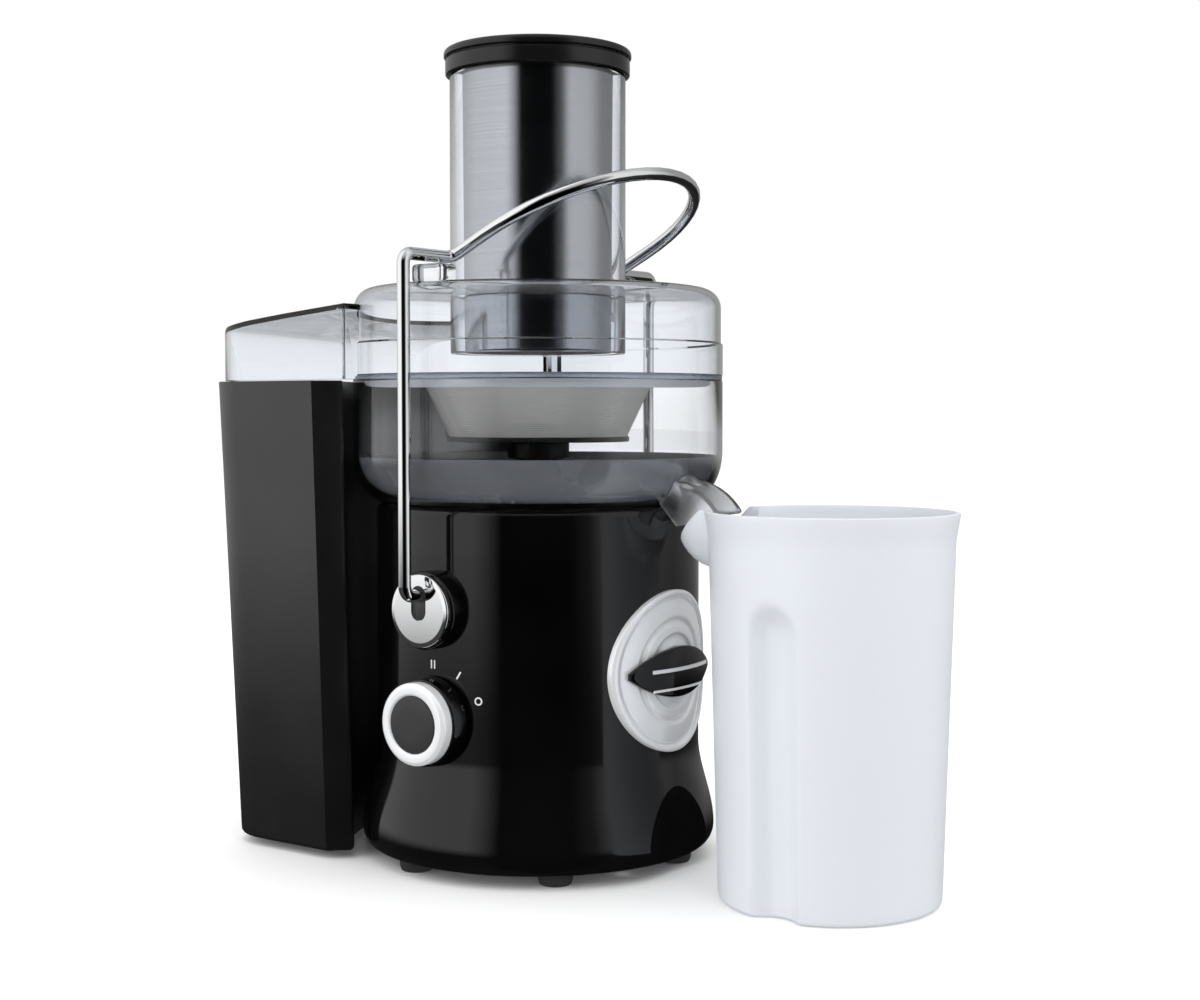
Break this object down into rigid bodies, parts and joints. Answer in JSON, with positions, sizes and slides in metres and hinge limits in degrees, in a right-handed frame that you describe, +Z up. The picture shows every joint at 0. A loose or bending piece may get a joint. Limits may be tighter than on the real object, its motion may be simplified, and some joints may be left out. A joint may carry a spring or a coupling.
{
  "type": "centrifugal juicer",
  "caption": "Centrifugal juicer: motor base with dial, mesh cutting basket in a bowl, clear lid with wide feed tube and pusher, locking bail, pulp container and juice jug.",
  "frame": {"origin": "middle of the footprint of the whole object on the counter; the motor's axis is 37 mm towards -X from it", "axes": "+Z up along the motor's axis; the dial faces -Y; the juice jug is on the +X side and the pulp container on the -X side"},
  "size_m": [0.388, 0.2124, 0.4112],
  "materials": {
    "housing_gloss": "glossy moulded",
    "black_plastic": "satin moulded",
    "container_plastic": "fine matt grain",
    "rubber": "matt",
    "chrome": "polished",
    "silver_trim": "satin",
    "brushed_steel": "brushed",
    "mesh_steel": "perforated sheet",
    "zinc_screw": "zinc plated",
    "cast_alloy": "as cast",
    "laminations": "varnished steel",
    "copper": "enamelled copper",
    "brass": "plain",
    "carbon": "graphite",
    "clear_plastic": "clear moulded",
    "smoke_plastic": "smoke tinted clear",
    "seal_rubber": "soft seal",
    "frosted_plastic": "frosted translucent"
  },
  "bodies": {
    "base": {"base_housing": "housing_gloss", "base_plate": "black_plastic", "feet": "rubber", "base_screws": "zinc_screw", "pivot_bosses": "housing_gloss", "emblem_plate": "silver_trim", "emblem_badge": "housing_gloss", "cord_gland": "rubber", "motor_mounts": "rubber", "upper_bracket": "cast_alloy", "lower_bracket": "cast_alloy", "motor_screws": "zinc_screw", "field_stack": "laminations", "field_coils": "copper", "upper_bearing": "brushed_steel", "lower_bearing": "brushed_steel", "brush_holders": "brass", "carbon_brushes": "carbon", "rotary_switch": "black_plastic", "interlock_switch": "black_plastic", "shaft_seal": "rubber", "bowl": "smoke_plastic", "juice_spout": "smoke_plastic", "lid_seal": "seal_rubber", "lid": "clear_plastic"},
    "spinner": {"motor_shaft": "brushed_steel", "armature_core": "laminations", "armature_coils": "copper", "commutator": "copper", "cooling_fan": "black_plastic", "drive_coupling": "black_plastic", "basket_hub": "black_plastic", "basket_floor": "black_plastic", "shredder_disc": "brushed_steel", "mesh_basket": "mesh_steel", "basket_rim": "silver_trim"},
    "bail": {"bail": "chrome", "front_disc": "chrome", "rear_disc": "chrome", "interlock_cam": "black_plastic"},
    "plunger": {"interlock_plunger": "brushed_steel"},
    "dial": {"dial_body": "housing_gloss", "dial_ring": "silver_trim", "dial_cap": "housing_gloss"},
    "pusher": {"pusher_cap": "black_plastic", "pusher_sleeve": "brushed_steel", "pusher_core": "black_plastic"},
    "container": {"pulp_container": "container_plastic"},
    "jug": {"juice_jug": "frosted_plastic"}
  },
  "joints": [
    {"name": "basket_spin", "type": "hinge", "parent": "base", "child": "spinner", "pos_m": [-0.037, 0, 0.2], "axis": [0, 0, 1], "continuous": true},
    {"name": "bail_swing", "type": "hinge", "parent": "base", "child": "bail", "pos_m": [-0.037, 0, 0.132], "axis": [0, 1, 0], "range_deg": [0, 50]},
    {"name": "dial_turn", "type": "hinge", "parent": "base", "child": "dial", "pos_m": [-0.037, -0.09, 0.078], "axis": [0, 1, 0], "range_deg": [-66, 0]},
    {"name": "pusher_lift", "type": "slide", "parent": "base", "child": "pusher", "axis": [0, 0, 1], "range_m": [0, 0.145]},
    {"name": "container_pull", "type": "slide", "parent": "base", "child": "container", "axis": [-1, 0, 0], "range_m": [0, 0.12]},
    {"name": "jug_pull", "type": "slide", "parent": "base", "child": "jug", "axis": [1, 0, 0], "range_m": [0, 0.1]},
    {"name": "plunger_slide", "type": "slide", "parent": "base", "child": "plunger", "axis": [0, 0, 1], "range_m": [0, 0.0017]}
  ],
  "couplings": [
    {"joint": "plunger_slide", "follows": "bail_swing", "m_per_rad": 0.001948}
  ]
}
